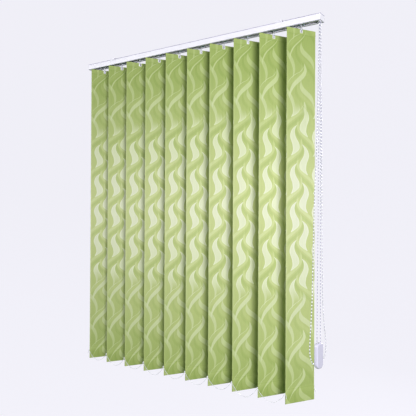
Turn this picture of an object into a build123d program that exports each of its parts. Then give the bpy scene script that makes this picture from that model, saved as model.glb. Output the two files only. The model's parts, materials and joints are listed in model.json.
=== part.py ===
"""Vertical blind: ten fabric vanes that hang from carriers in an aluminium head rail.

A bead chain turns a grooved rod, which tilts every vane. A looped cord draws the carriers along the
rail. Small bead chains join the bottom corners of the vanes.

Frame: millimetres, +X along the rail towards the control end, +Y into the room's wall, +Z up. The
origin is the ceiling plane over the middle of the rail, half way between the two ceiling clips.
"""

import os
from math import cos, pi, radians, sin, tan

from build123d import *

# Head rail, an extrusion that is open below
RAIL_LENGTH = 1190.0
RAIL_WIDTH = 40.0
RAIL_HEIGHT = 25.0
RAIL_WALL = 1.2
RAIL_CORNER = 1.4
SLOT_WIDTH = 21.0
LIP_WIDTH = 1.0
LIP_RISE = 1.2
CLIP_GROOVE_DEPTH = 0.8
CLIP_GROOVE_HEIGHT = 2.0
CLIP_GROOVE_DROP = 2.4
LINE_GROOVE_DEPTH = 0.35
LINE_GROOVE_HEIGHT = 0.9
LINE_GROOVE_PITCH = 3.6
LINE_GROOVE_COUNT = 4

# Ceiling clips
CLIP_SPACING = 864.0
CLIP_WIDTH = 26.0
CLIP_SHEET = 1.2
CLIP_HEADROOM = 2.8
CLIP_CORNER = 0.8
CLIP_GRIP = 0.1
CLIP_SEAT_WIDTH = 8.0
CLIP_SEAT_DEPTH = 4.0
CLIP_SEAT_INSET = 3.0
SCREW_HOLE_RADIUS = 2.5

# End caps
CONTROL_CAP_LENGTH = 16.0
RETURN_CAP_LENGTH = 12.0
CAP_WALL = 1.6
CAP_END_WALL = 2.0
CAP_INNER_CORNER = 0.8
ROD_BOSS_LENGTH = 5.0
SPIGOT_LENGTH = 10.0
SPIGOT_WALL = 1.6
SPIGOT_HEIGHT = 14.0
SPIGOT_ROOT = 0.9
SPIGOT_BITE = 0.2
PIECE_GAP = 0.2

# Vanes
VANE_COUNT = 10
VANE_PITCH = 113.0
LAST_VANE_TO_END = 81.5
VANE_WIDTH = 127.0
VANE_DROP = 1380.0
VANE_BELOW_RAIL = 14.0
VANE_ANGLE = 58.0
FABRIC = 0.5
HEM_FABRIC = 0.3
TOP_HEM = 20.0
BOTTOM_HEM = 52.0
HEM_SLACK = 0.15
HEM_FOLD = 0.8
HEM_SEAM = 2.0
HEM_CREASE = 0.6
HEM_MOUTH = 0.4
POCKET_END = 0.2

# Hanger plate in the top hem
HANGER_WIDTH = 100.0
HANGER_HEIGHT = 15.0
HANGER_SHEET = 1.0
HANGER_CORNER = 3.0
HANGER_HOLE_CORNER = 0.8
HANGER_HOLE_WIDTH = 5.0
HANGER_HOLE_HEIGHT = 4.0
HEM_NOTCH_WIDTH = 12.0
HEM_NOTCH_DEPTH = 14.6
HEM_NOTCH_CORNER = 2.0

# Weight plate in the bottom hem
WEIGHT_SHEET = 1.6
WEIGHT_HEIGHT = 46.0
WEIGHT_CLEARANCE = 1.0
WEIGHT_CORNER = 3.0
EAR_REACH = 2.5
EAR_ABOVE_BOTTOM = 38.0
EAR_HEIGHT = 13.0
EAR_TIP_HEIGHT = 2.4
EAR_ROOT = 4.0
EAR_CLEARANCE = 1.0
EYELET_RADIUS = 2.2
EYELET_THICKNESS = 1.4

# Tilt rod, worm and worm wheel
ROD_RADIUS = 2.5
ROD_GROOVE_WIDTH = 1.2
ROD_GROOVE_DEPTH = 0.5
ROD_GROOVES = 3
ROD_Y = 8.2
ROD_BELOW_TOP = 13.0
ROD_END_GAP = 0.4
RUNNING_FIT = 0.05
WORM_RADIUS = 3.6
WORM_LENGTH = 12.0
WORM_THREAD_PITCH = 3.0
WORM_THREAD_DEPTH = 0.5
WORM_GROOVE_WIDTH = 1.0
GEAR_TEETH = 12
GEAR_TIP_GAP = 0.3
GEAR_TOOTH_DEPTH = 0.8
GEAR_TOOTH_WIDTH = 1.4
GEAR_TOOTH_ANGLE = 70.0
GEAR_THICKNESS = 4.0

# Hook stem
STEM_RADIUS = 3.0
COLLAR_RADIUS = 4.2
COLLAR_THICKNESS = 1.4
COLLAR_DROP = 1.2
BLADE_WIDTH = 7.0
PRONG_THICKNESS = 1.2
PRONG_GAP = 0.05
FRONT_PRONG_LENGTH = 10.5
BACK_PRONG_LENGTH = 7.5
FORK_ABOVE_HANGER = 1.0
NIB_HEIGHT = 2.0
NIB_ABOVE_TIP = 0.6
NIB_SIDE_GAP = 0.6
NIB_ROOT = 0.3

# Carrier
CARRIER_LENGTH = 21.4
CARRIER_HALF_WIDTH = 9.4
CARRIER_TOP_BELOW_ROOF = 7.2
CARRIER_CORNER = 1.0
CARRIER_SHOULDER = 1.5
CARRIER_WALL = 1.0
CARRIER_ABOVE_LEDGE = 2.0
WHEEL_RADIUS = 3.4
WHEEL_WIDTH = 2.6
WHEEL_SPACING = 12.8
WHEEL_TOP_GAP = 0.3
AXLE_RADIUS = 1.0
AXLE_ROOT = 0.5
AXLE_BEYOND_WHEEL = 0.3
SIDE_RECESS_WIDTH = 6.4
SIDE_RECESS_DEPTH = 1.6
SIDE_RECESS_TOP = 1.0
LIP_CLEARANCE = 0.6
CORD_PLATE = 3.0
CORD_PLATE_MARGIN = 1.7
CORD_PLATE_TOP = 1.1
CORD_PLATE_ROOT = 2.0
EYELET_CLEARANCE = 0.5
STRIP_WIDTH = 6.0
STRIP_SHEET = 0.3
STRIP_STEP = 0.62
STRIP_LEVELS = 6
STRIP_ABOVE_CARRIER = 0.6
STRIP_OVERREACH = 5.0
STRIP_Y = 4.8
POST_LENGTH = 4.0
POST_WIDTH = 2.5
POST_ROOT = 0.5
POST_TO_STRIP = 0.6

# Draw cord and its pulleys
CORD_DIAMETER = 2.2
CORD_BELOW_TOP = 4.5
CORD_FRONT_Y = -14.6
CORD_SPACING = 10.0
CORD_TO_PULLEY = 5.0
PULLEY_RADIUS = 5.9
PULLEY_WIDTH = 3.8
PULLEY_SIDE_GAP = 0.1
GROOVE_GAP = 0.2
GROOVE_RIM = 0.3
PIN_RADIUS = 1.2
PIN_BEYOND_PULLEY = 0.4
PIN_SHOULDER = 0.8
PIN_ROOT = 0.5
CORD_HOLE_GAP = 0.3
CORD_HOLE_SLACK = 0.6
PULLEY_TO_CAP = 0.4
RETURN_PULLEY_TO_CAP = 1.4
CORD_END_GAP = 0.6

# Bead chain and its sprocket
CHAIN_DIAMETER = 4.5
CHAIN_BEAD_PITCH = 12.0
SPROCKET_POCKETS = 4
SPROCKET_RADIUS = 8.8
SPROCKET_WIDTH = 7.0
SPROCKET_CHAMFER = 0.6
SPROCKET_GAP = 0.3
SPROCKET_TO_RAIL = 1.0
CHAIN_HOLE_GAP = 0.7

# Cord weight
POD_WIDTH = 41.0
POD_HEIGHT = 92.0
POD_DEPTH = 16.5
POD_EDGE = 5.0
POD_WALL = 1.8
POD_RIM = 1.2
POD_BOTTOM_RADIUS = 18.0
POD_TAPER = 0.94
POD_TOP_RADIUS = 15.5
POD_TURN = 77.5
POD_TOP_BELOW_CEILING = 1192.0
POD_BEYOND_HOOK = 77.2
POD_Y = -13.2
WEIGHT_WHEEL_BELOW_TOP = 24.0
WEIGHT_CORD_RADIUS = 11.0
WEIGHT_WHEEL_RADIUS = 12.2
WEIGHT_WHEEL_WIDTH = 4.4
POD_CORD_GAP = 0.7
SLUG_LENGTH = 30.0
SLUG_WIDTH = 24.0
SLUG_CORNER = 6.0
SLUG_BELOW_WHEEL = 6.0

# Bottom chains
LINK_DIAMETER = 2.4
LINK_PIN_RADIUS = 0.8
LINK_HEAD_RADIUS = 1.5
LINK_HEAD_HEIGHT = 2.6
LINK_HEAD_GAP = 0.1
LINK_HEAD_BITE = 0.2

# How much further than a wall every cutter reaches
THROUGH = 1.0

# Levels and places that follow from the sizes above
RAIL_TOP = -(CLIP_SHEET + CLIP_HEADROOM)
RAIL_UNDERSIDE = RAIL_TOP - RAIL_HEIGHT
RAIL_MID = (RAIL_TOP + RAIL_UNDERSIDE) / 2
LEDGE_TOP = RAIL_UNDERSIDE + RAIL_WALL
ROOF = RAIL_TOP - RAIL_WALL
INNER_HALF = RAIL_WIDTH / 2 - RAIL_WALL
RAIL_RIGHT = RAIL_LENGTH / 2
RAIL_LEFT = -RAIL_LENGTH / 2
VANE_TOP = RAIL_UNDERSIDE - VANE_BELOW_RAIL
VANE_BOTTOM = VANE_TOP - VANE_DROP
ROD_Z = RAIL_TOP - ROD_BELOW_TOP
GEAR_RADIUS = ROD_Y - WORM_RADIUS - GEAR_TIP_GAP
CORD_Z = RAIL_TOP - CORD_BELOW_TOP
CORD_BACK_Y = CORD_FRONT_Y + CORD_SPACING
CORD_RADIUS = CORD_DIAMETER / 2
EAR_Z = VANE_BOTTOM + EAR_ABOVE_BOTTOM
EAR_U = VANE_WIDTH / 2 + EAR_REACH
SPROCKET_PITCH_RADIUS = SPROCKET_POCKETS * CHAIN_BEAD_PITCH / (2 * pi)
SPROCKET_X = RAIL_RIGHT - CONTROL_CAP_LENGTH + SPROCKET_WIDTH / 2 + SPROCKET_TO_RAIL
PULLEY_X = RAIL_RIGHT - CAP_END_WALL - CORD_RADIUS - PULLEY_TO_CAP - CORD_TO_PULLEY
PULLEY_Z = CORD_Z - CORD_TO_PULLEY
RETURN_PULLEY_RADIUS = CORD_SPACING / 2
RETURN_PULLEY_EDGE = RAIL_LEFT + CAP_END_WALL + CORD_RADIUS + RETURN_PULLEY_TO_CAP
RETURN_PULLEY_X = RETURN_PULLEY_EDGE + RETURN_PULLEY_RADIUS
POD_TOP = -POD_TOP_BELOW_CEILING


def hook_x(number):
    """Where vane 1, 2, 3 ... hangs along the rail, counted from the far end."""
    last = RAIL_RIGHT - LAST_VANE_TO_END
    return last - (VANE_COUNT - number) * VANE_PITCH


def on_hook(shape, number):
    """Turns a piece made along X to the vanes' angle and puts it under its hook."""
    return Pos(hook_x(number), 0, 0) * Rot(0, 0, VANE_ANGLE) * shape


def box(x, y, z):
    """A block between two places along each axis."""
    size = (x[1] - x[0], y[1] - y[0], z[1] - z[0])
    middle = ((x[0] + x[1]) / 2, (y[0] + y[1]) / 2, (z[0] + z[1]) / 2)
    return Pos(*middle) * Box(*size)


def bar_x(radius, start, end, y, z):
    """A round bar along X."""
    return Pos((start + end) / 2, y, z) * Rot(0, 90, 0) * Cylinder(radius, end - start)


def bar_y(radius, start, end, x, z):
    """A round bar along Y."""
    return Pos(x, (start + end) / 2, z) * Rot(90, 0, 0) * Cylinder(radius, end - start)


def bar_z(radius, start, end, x=0.0, y=0.0):
    """A round bar along Z."""
    return Pos(x, y, (start + end) / 2) * Cylinder(radius, end - start)


def along_x(section, start, end):
    """Extrudes a section drawn in Y and Z from one place along X to another."""
    return Pos(start, 0, 0) * extrude(Plane.YZ * section, end - start)


# Head rail


def rail_outline():
    """The rail's outer section, which both end caps share, about the middle of its height."""
    return RectangleRounded(RAIL_WIDTH, RAIL_HEIGHT, RAIL_CORNER)


def head_rail():
    """Extrusion with wheel ledges beside the slot, clip grooves and fine lines on its sides."""
    section = rail_outline() - Rectangle(RAIL_WIDTH - 2 * RAIL_WALL, RAIL_HEIGHT - 2 * RAIL_WALL)
    section -= Pos(0, -RAIL_HEIGHT / 2) * Rectangle(SLOT_WIDTH, 3 * RAIL_WALL)
    groove_z = RAIL_HEIGHT / 2 - CLIP_GROOVE_DROP - CLIP_GROOVE_HEIGHT / 2
    for side in (-1, 1):
        lip = Rectangle(LIP_WIDTH, RAIL_WALL + LIP_RISE, align=(Align.CENTER, Align.MIN))
        section += Pos(side * (SLOT_WIDTH + LIP_WIDTH) / 2, -RAIL_HEIGHT / 2) * lip
        backing = Rectangle(2 * CLIP_GROOVE_DEPTH, CLIP_GROOVE_HEIGHT + 2 * CLIP_GROOVE_DEPTH)
        section += Pos(side * INNER_HALF, groove_z) * backing
        groove = Rectangle(2 * CLIP_GROOVE_DEPTH, CLIP_GROOVE_HEIGHT)
        section -= Pos(side * RAIL_WIDTH / 2, groove_z) * groove
        for number in range(LINE_GROOVE_COUNT):
            line = Rectangle(2 * LINE_GROOVE_DEPTH, LINE_GROOVE_HEIGHT)
            level = (number - LINE_GROOVE_COUNT / 2) * LINE_GROOVE_PITCH
            section -= Pos(side * RAIL_WIDTH / 2, level) * line
    start = RAIL_LEFT + RETURN_CAP_LENGTH
    end = RAIL_RIGHT - CONTROL_CAP_LENGTH
    return Pos(0, 0, RAIL_MID) * along_x(section, start, end)


def cap_shell(start, end, open_end):
    """A cap's block with the rail's own outline, hollow towards the rail."""
    block = Pos(0, 0, RAIL_MID) * along_x(rail_outline(), start, end)
    hollow = RectangleRounded(RAIL_WIDTH - 2 * CAP_WALL, RAIL_HEIGHT - 2 * CAP_WALL, CAP_INNER_CORNER)
    if open_end == "left":
        block -= Pos(0, 0, RAIL_MID) * along_x(hollow, start - THROUGH, end - CAP_END_WALL)
        spigot_x = (start - SPIGOT_LENGTH, start)
    else:
        block -= Pos(0, 0, RAIL_MID) * along_x(hollow, start + CAP_END_WALL, end + THROUGH)
        spigot_x = (end, end + SPIGOT_LENGTH)
    outer = INNER_HALF - CLIP_GROOVE_DEPTH - PIECE_GAP
    spigot_z = (RAIL_MID - SPIGOT_HEIGHT / 2, RAIL_MID + SPIGOT_HEIGHT / 2)
    for side in (-1, 1):
        tongue_y = sorted((side * outer, side * (outer - SPIGOT_WALL)))
        root_y = sorted((side * (outer - SPIGOT_WALL), side * (RAIL_WIDTH / 2 - CAP_WALL + SPIGOT_BITE)))
        block += box(spigot_x, tongue_y, spigot_z)
        inward = -SPIGOT_ROOT if open_end == "right" else SPIGOT_ROOT
        edge = end if open_end == "right" else start
        block += box(sorted((edge, edge + inward)), root_y, spigot_z)
    return block


def control_end_cap():
    """Houses the sprocket and both cord pulleys. The chain and the cord leave through its floor."""
    start = RAIL_RIGHT - CONTROL_CAP_LENGTH
    cap = cap_shell(start, RAIL_RIGHT, "left")
    inner_end = RAIL_RIGHT - CAP_END_WALL
    boss_start = SPROCKET_X + SPROCKET_WIDTH / 2 + SPROCKET_GAP
    cap += bar_x(ROD_RADIUS + CAP_WALL, boss_start, inner_end, ROD_Y, ROD_Z)
    cap -= bar_x(ROD_RADIUS + RUNNING_FIT, boss_start - THROUGH, inner_end, ROD_Y, ROD_Z)
    peg_end = CORD_BACK_Y + PULLEY_WIDTH / 2 + PIN_BEYOND_PULLEY
    peg_start = -RAIL_WIDTH / 2 + CAP_WALL / 2
    cap += bar_y(PIN_RADIUS, peg_start, peg_end, PULLEY_X, PULLEY_Z)
    shoulder = CORD_FRONT_Y - PULLEY_WIDTH / 2 - PULLEY_SIDE_GAP
    cap += bar_y(PIN_RADIUS + PIN_SHOULDER, peg_start, shoulder, PULLEY_X, PULLEY_Z)
    floor = (RAIL_UNDERSIDE - THROUGH, RAIL_UNDERSIDE + CAP_WALL + THROUGH)
    chain_hole = CHAIN_DIAMETER / 2 + CHAIN_HOLE_GAP
    for side in (-1, 1):
        y = ROD_Y + side * SPROCKET_PITCH_RADIUS
        cap -= bar_z(chain_hole, *floor, x=SPROCKET_X, y=y)
    for y in (CORD_FRONT_Y, CORD_BACK_Y):
        half_x = CORD_RADIUS + CORD_HOLE_GAP
        half_y = CORD_RADIUS + CORD_HOLE_SLACK
        x = PULLEY_X + CORD_TO_PULLEY
        cap -= box((x - half_x, x + half_x), (y - half_y, y + half_y), floor)
    return cap


def return_end_cap():
    """Holds the rod's other end and the return pulley on its shelf."""
    end = RAIL_LEFT + RETURN_CAP_LENGTH
    cap = cap_shell(RAIL_LEFT, end, "right")
    inner_end = RAIL_LEFT + CAP_END_WALL
    boss_end = inner_end + ROD_BOSS_LENGTH
    cap += bar_x(ROD_RADIUS + CAP_WALL, inner_end, boss_end, ROD_Y, ROD_Z)
    cap -= bar_x(ROD_RADIUS + RUNNING_FIT, inner_end, boss_end + THROUGH, ROD_Y, ROD_Z)
    middle = (CORD_FRONT_Y + CORD_BACK_Y) / 2
    shelf_top = CORD_Z - PULLEY_WIDTH / 2 - PULLEY_SIDE_GAP
    shelf_y = (middle - PULLEY_RADIUS, middle + PULLEY_RADIUS)
    cap += box((RAIL_LEFT + CAP_END_WALL / 2, end), shelf_y, (shelf_top - CAP_WALL, shelf_top))
    roof = RAIL_TOP - CAP_WALL / 2
    cap += bar_z(PIN_RADIUS, shelf_top - PIN_ROOT, roof, x=RETURN_PULLEY_X, y=middle)
    return cap


def ceiling_clip(x):
    """Sheet clip screwed to the ceiling. Its turned-in lips hold the grooves of the rail."""
    half = RAIL_WIDTH / 2 + PIECE_GAP
    lip_top = RAIL_TOP - CLIP_GROOVE_DROP - PIECE_GAP
    leg_bottom = lip_top - CLIP_SHEET
    span_x = (x - CLIP_WIDTH / 2, x + CLIP_WIDTH / 2)
    clip = box(span_x, (-half - CLIP_SHEET, half + CLIP_SHEET), (-CLIP_SHEET, 0))
    for side in (-1, 1):
        leg_y = sorted((side * half, side * (half + CLIP_SHEET)))
        clip += box(span_x, leg_y, (leg_bottom, -CLIP_SHEET / 2))
        lip_y = sorted((side * (RAIL_WIDTH / 2 - CLIP_GROOVE_DEPTH + CLIP_GRIP), side * half))
        clip += box(span_x, lip_y, (leg_bottom, lip_top))
    seat_x = (x - CLIP_SEAT_WIDTH / 2, x + CLIP_SEAT_WIDTH / 2)
    seat_start = -half + CLIP_SEAT_INSET
    seat = box(seat_x, (seat_start, seat_start + CLIP_SEAT_DEPTH), (RAIL_TOP, -CLIP_SHEET / 2))
    clip += seat
    clip += mirror(seat, Plane.XZ)
    clip = fillet(clip.edges().filter_by(Axis.X).filter_by(lambda e: e.center().Z > -0.01), CLIP_CORNER)
    return clip - bar_z(SCREW_HOLE_RADIUS, -CLIP_SHEET - THROUGH, THROUGH, x=x)


# Tilting


def tilt_rod():
    """Round rod with three lengthwise grooves, which every worm slides along."""
    section = Circle(ROD_RADIUS)
    for number in range(ROD_GROOVES):
        groove = Pos(ROD_RADIUS, 0) * Rectangle(2 * ROD_GROOVE_DEPTH, ROD_GROOVE_WIDTH)
        section -= Rot(0, 0, number * 360 / ROD_GROOVES) * groove
    start = RAIL_LEFT + CAP_END_WALL + ROD_END_GAP
    end = RAIL_RIGHT - CAP_END_WALL - ROD_END_GAP
    return Pos(0, ROD_Y, ROD_Z) * along_x(section, start, end)


def chain_sprocket():
    """Grooved wheel on the rod. A ring of pockets takes the beads of the chain."""
    half = SPROCKET_WIDTH / 2
    wheel = bar_x(SPROCKET_RADIUS, -half, half, 0, 0)
    wheel = chamfer(wheel.edges(), SPROCKET_CHAMFER)
    groove = Rot(0, 90, 0) * Torus(SPROCKET_PITCH_RADIUS, CHAIN_DIAMETER / 2 + SPROCKET_GAP)
    wheel -= groove
    for number in range(SPROCKET_POCKETS):
        pocket = Pos(0, SPROCKET_PITCH_RADIUS, 0) * Sphere(CHAIN_DIAMETER / 2 + 2 * SPROCKET_GAP)
        wheel -= Rot(number * 360 / SPROCKET_POCKETS, 0, 0) * pocket
    wheel -= bar_x(ROD_RADIUS, -half - THROUGH, half + THROUGH, 0, 0)
    return Pos(SPROCKET_X, ROD_Y, ROD_Z) * wheel


def worm():
    """Worm on the rod inside a carrier, with its thread's grooves."""
    half = WORM_LENGTH / 2
    body = bar_x(WORM_RADIUS, -half, half, ROD_Y, ROD_Z)
    count = int(WORM_LENGTH / WORM_THREAD_PITCH)
    for number in range(count):
        x = (number - (count - 1) / 2) * WORM_THREAD_PITCH
        groove = (x - WORM_GROOVE_WIDTH / 2, x + WORM_GROOVE_WIDTH / 2)
        ring = bar_x(WORM_RADIUS + THROUGH, *groove, ROD_Y, ROD_Z)
        ring -= bar_x(WORM_RADIUS - WORM_THREAD_DEPTH, *groove, ROD_Y, ROD_Z)
        body -= ring
    return body - bar_x(ROD_RADIUS + RUNNING_FIT, -half - THROUGH, half + THROUGH, ROD_Y, ROD_Z)


def hook_stem():
    """Worm wheel, stem, collar and two-pronged hook in one clear moulding."""
    gear_base = ROD_Z - GEAR_THICKNESS / 2
    gear = Circle(GEAR_RADIUS - GEAR_TOOTH_DEPTH)
    form = Trapezoid(GEAR_TOOTH_WIDTH, 2 * GEAR_TOOTH_DEPTH, GEAR_TOOTH_ANGLE, rotation=-90)
    tooth = Pos(GEAR_RADIUS - GEAR_TOOTH_DEPTH, 0) * form
    for number in range(GEAR_TEETH):
        gear += Rot(0, 0, number * 360 / GEAR_TEETH) * tooth
    gear &= Circle(GEAR_RADIUS)
    piece = Pos(0, 0, gear_base) * extrude(gear, GEAR_THICKNESS)
    collar_top = RAIL_UNDERSIDE - COLLAR_DROP
    collar_base = collar_top - COLLAR_THICKNESS
    piece += bar_z(STEM_RADIUS, collar_base, gear_base + GEAR_THICKNESS / 2)
    piece += bar_z(COLLAR_RADIUS, collar_base, collar_top)
    inner = HANGER_SHEET / 2 + PRONG_GAP
    outer = inner + PRONG_THICKNESS
    half = BLADE_WIDTH / 2
    hanger_top = VANE_TOP - (TOP_HEM - HANGER_HEIGHT) / 2
    fork_top = hanger_top + FORK_ABOVE_HANGER
    blade = box((-half, half), (-outer, outer), (fork_top, collar_base + COLLAR_THICKNESS / 2))
    piece += blade
    front_tip = hanger_top - FRONT_PRONG_LENGTH
    piece += box((-half, half), (-outer, -inner), (front_tip, fork_top))
    piece += box((-half, half), (inner, outer), (hanger_top - BACK_PRONG_LENGTH, fork_top))
    hole_mid = front_tip + NIB_ABOVE_TIP + NIB_HEIGHT / 2
    nib_z = (hole_mid - NIB_HEIGHT / 2, hole_mid + NIB_HEIGHT / 2)
    nib_half = HANGER_HOLE_WIDTH / 2 - NIB_SIDE_GAP
    piece += box((-nib_half, nib_half), (-inner - NIB_ROOT, HANGER_SHEET / 2), nib_z)
    return piece


# Vanes


def vane_fabric():
    """One strip of cloth with a hem pocket at the top and a deeper one at the bottom."""
    flat = FABRIC / 2
    top_in = HANGER_SHEET / 2 + HEM_SLACK
    top_out = top_in + HEM_FABRIC
    low_in = WEIGHT_SHEET / 2 + HEM_SLACK
    low_out = low_in + HEM_FABRIC
    top_seam = VANE_TOP - TOP_HEM
    low_seam = VANE_BOTTOM + BOTTOM_HEM
    outline = Polyline(
        (top_out - HEM_MOUTH, VANE_TOP),
        (top_out, VANE_TOP - HEM_CREASE),
        (top_out, top_seam + HEM_SEAM),
        (flat, top_seam),
        (flat, low_seam),
        (low_out, low_seam - HEM_SEAM),
        (low_out, VANE_BOTTOM + HEM_FOLD),
        (low_out - HEM_CREASE, VANE_BOTTOM),
        (-low_out + HEM_CREASE, VANE_BOTTOM),
        (-low_out, VANE_BOTTOM + HEM_FOLD),
        (-low_out, low_seam - HEM_SEAM),
        (-flat, low_seam),
        (-flat, top_seam),
        (-top_out, top_seam + HEM_SEAM),
        (-top_out, VANE_TOP - HEM_CREASE),
        (-top_out + HEM_MOUTH, VANE_TOP),
        close=True,
    )
    section = make_face(outline)
    top_pocket = (top_seam + HEM_SEAM + POCKET_END, VANE_TOP - HEM_FABRIC)
    low_pocket = (VANE_BOTTOM + HEM_FOLD, low_seam - HEM_SEAM - POCKET_END)
    for half, levels in ((top_in, top_pocket), (low_in, low_pocket)):
        pocket = Rectangle(2 * half, levels[1] - levels[0])
        section -= Pos(0, sum(levels) / 2) * pocket
    cloth = along_x(section, -VANE_WIDTH / 2, VANE_WIDTH / 2)
    notch_z = (VANE_TOP - HEM_NOTCH_DEPTH, VANE_TOP + THROUGH)
    half = HEM_NOTCH_WIDTH / 2
    notch = box((-half, half), (-top_out - THROUGH, top_out + THROUGH), notch_z)
    notch = fillet(notch.edges().filter_by(Axis.Y).group_by(Axis.Z)[0], HEM_NOTCH_CORNER)
    return cloth - notch


def hanger():
    """Stiff plate in the top hem, with the hole that the hook's nib snaps into."""
    top = VANE_TOP - (TOP_HEM - HANGER_HEIGHT) / 2
    plate = Pos(0, top - HANGER_HEIGHT / 2) * RectangleRounded(HANGER_WIDTH, HANGER_HEIGHT, HANGER_CORNER)
    hole_mid = top - FRONT_PRONG_LENGTH + NIB_ABOVE_TIP + NIB_HEIGHT / 2
    hole = RectangleRounded(HANGER_HOLE_WIDTH, HANGER_HOLE_HEIGHT, HANGER_HOLE_CORNER)
    plate -= Pos(0, hole_mid) * hole
    return Pos(0, HANGER_SHEET / 2, 0) * extrude(Plane.XZ * plate, HANGER_SHEET)


def weight_plate():
    """Coated steel plate in the bottom hem, with an ear and an eyelet at each end for the chains."""
    base = VANE_BOTTOM + WEIGHT_CLEARANCE
    half = VANE_WIDTH / 2 - WEIGHT_CLEARANCE
    plate = Pos(0, base + WEIGHT_HEIGHT / 2) * RectangleRounded(2 * half, WEIGHT_HEIGHT, WEIGHT_CORNER)
    for side in (-1, 1):
        ear = Polyline(
            (side * (half - EAR_ROOT), EAR_Z + EAR_HEIGHT / 2),
            (side * EAR_U, EAR_Z + EAR_TIP_HEIGHT / 2),
            (side * EAR_U, EAR_Z - EAR_TIP_HEIGHT / 2),
            (side * (half - EAR_ROOT), EAR_Z - EAR_HEIGHT / 2),
            close=True,
        )
        plate += make_face(ear)
    solid = Pos(0, WEIGHT_SHEET / 2, 0) * extrude(Plane.XZ * plate, WEIGHT_SHEET)
    low = EAR_Z - EYELET_THICKNESS / 2
    for side in (-1, 1):
        solid += bar_z(EYELET_RADIUS, low, low + EYELET_THICKNESS, x=side * EAR_U)
        bore = LINK_PIN_RADIUS + RUNNING_FIT
        reach = EYELET_RADIUS + EAR_CLEARANCE
        solid -= bar_z(bore, EAR_Z - EAR_HEIGHT, EAR_Z + EAR_HEIGHT, x=side * EAR_U)
        over = (side * EAR_U - reach, side * EAR_U + reach)
        under_z = (low - LINK_HEAD_HEIGHT - 2 * LINK_HEAD_GAP - LINK_DIAMETER, low)
        over_z = (low + EYELET_THICKNESS, low + EYELET_THICKNESS + LINK_HEAD_HEIGHT + 2 * LINK_HEAD_GAP)
        solid -= box(over, (-reach, reach), under_z)
        solid -= box(over, (-reach, reach), over_z)
    return solid


# Carriers


def carrier(number):
    """Moulded carrier on four wheels, with the worm, cord eyelets and its spacer strip."""
    half = CARRIER_LENGTH / 2
    top = ROOF - CARRIER_TOP_BELOW_ROOF
    axle_z = LEDGE_TOP + WHEEL_RADIUS
    foot = LEDGE_TOP + CARRIER_ABOVE_LEDGE
    worm_wall = WORM_RADIUS + GEAR_TIP_GAP + CARRIER_WALL
    waist = axle_z + WHEEL_RADIUS + WHEEL_TOP_GAP
    outline = Polyline(
        (-CARRIER_HALF_WIDTH, foot),
        (CARRIER_HALF_WIDTH, foot),
        (CARRIER_HALF_WIDTH, waist),
        (ROD_Y + worm_wall, waist),
        (ROD_Y + worm_wall, top - CARRIER_SHOULDER),
        (ROD_Y + worm_wall - CARRIER_SHOULDER, top),
        (-CARRIER_HALF_WIDTH + CARRIER_SHOULDER, top),
        (-CARRIER_HALF_WIDTH, top - CARRIER_SHOULDER),
        close=True,
    )
    body = along_x(make_face(outline), -half, half)
    body = chamfer(body.edges().filter_by(Axis.Z), CARRIER_CORNER)
    wheel_y = SLOT_WIDTH / 2 + LIP_WIDTH + LIP_CLEARANCE
    margin = CORD_RADIUS + CORD_PLATE_MARGIN
    body += box(
        (-CORD_PLATE / 2, CORD_PLATE / 2),
        (CORD_FRONT_Y - margin, CORD_BACK_Y + margin),
        (top - CORD_PLATE_ROOT, CORD_Z + CORD_RADIUS + CORD_PLATE_TOP),
    )
    for y in (CORD_FRONT_Y, CORD_BACK_Y):
        body -= bar_x(CORD_RADIUS + EYELET_CLEARANCE, -half, half, y, CORD_Z)
    body -= bar_x(ROD_RADIUS + 4 * RUNNING_FIT, -half - THROUGH, half + THROUGH, ROD_Y, ROD_Z)
    body -= bar_x(WORM_RADIUS + GEAR_TIP_GAP, -WORM_LENGTH / 2, WORM_LENGTH / 2, ROD_Y, ROD_Z)
    gear_floor = ROD_Z - GEAR_THICKNESS / 2 - 2 * RUNNING_FIT
    body -= bar_z(GEAR_RADIUS + GEAR_TIP_GAP, gear_floor, top + THROUGH)
    body -= bar_z(STEM_RADIUS + RUNNING_FIT, foot - THROUGH, gear_floor + THROUGH)
    for side in (-1, 1):
        recess_floor = CARRIER_HALF_WIDTH - SIDE_RECESS_DEPTH
        recess_y = sorted((side * recess_floor, side * (CARRIER_HALF_WIDTH + THROUGH)))
        recess_x = (-SIDE_RECESS_WIDTH / 2, SIDE_RECESS_WIDTH / 2)
        body -= box(recess_x, recess_y, (foot - THROUGH, waist - SIDE_RECESS_TOP))
    pieces = []
    for side in (-1, 1):
        for end in (-1, 1):
            x = end * WHEEL_SPACING / 2
            inner = side * (CARRIER_HALF_WIDTH - AXLE_ROOT)
            outer = side * (wheel_y + WHEEL_WIDTH + AXLE_BEYOND_WHEEL)
            body += bar_y(AXLE_RADIUS, *sorted((inner, outer)), x, axle_z)
            near, far = sorted((side * wheel_y, side * (wheel_y + WHEEL_WIDTH)))
            wheel = bar_y(WHEEL_RADIUS, near, far, x, axle_z)
            pieces.append(wheel - bar_y(AXLE_RADIUS, near - THROUGH, far + THROUGH, x, axle_z))
    if number > 1:
        level = top + STRIP_ABOVE_CARRIER + (number % STRIP_LEVELS) * STRIP_STEP
        post_x = (-POST_LENGTH / 2, POST_LENGTH / 2)
        post_start = STRIP_Y + STRIP_WIDTH / 2 + POST_TO_STRIP
        post_y = (post_start, post_start + POST_WIDTH)
        body += box(post_x, post_y, (top - POST_ROOT, level))
        strip_x = (-VANE_PITCH - STRIP_OVERREACH, POST_LENGTH / 2)
        strip_y = (STRIP_Y - STRIP_WIDTH / 2, STRIP_Y + STRIP_WIDTH / 2)
        strip_z = (level, level + STRIP_SHEET)
        strip = box(strip_x, strip_y, strip_z) + box(post_x, (STRIP_Y, post_y[1]), strip_z)
        pieces.append(strip)
    pieces += [body, worm()]
    return [Pos(hook_x(number), 0, 0) * piece for piece in pieces]


# Draw cord's pulleys


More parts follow.
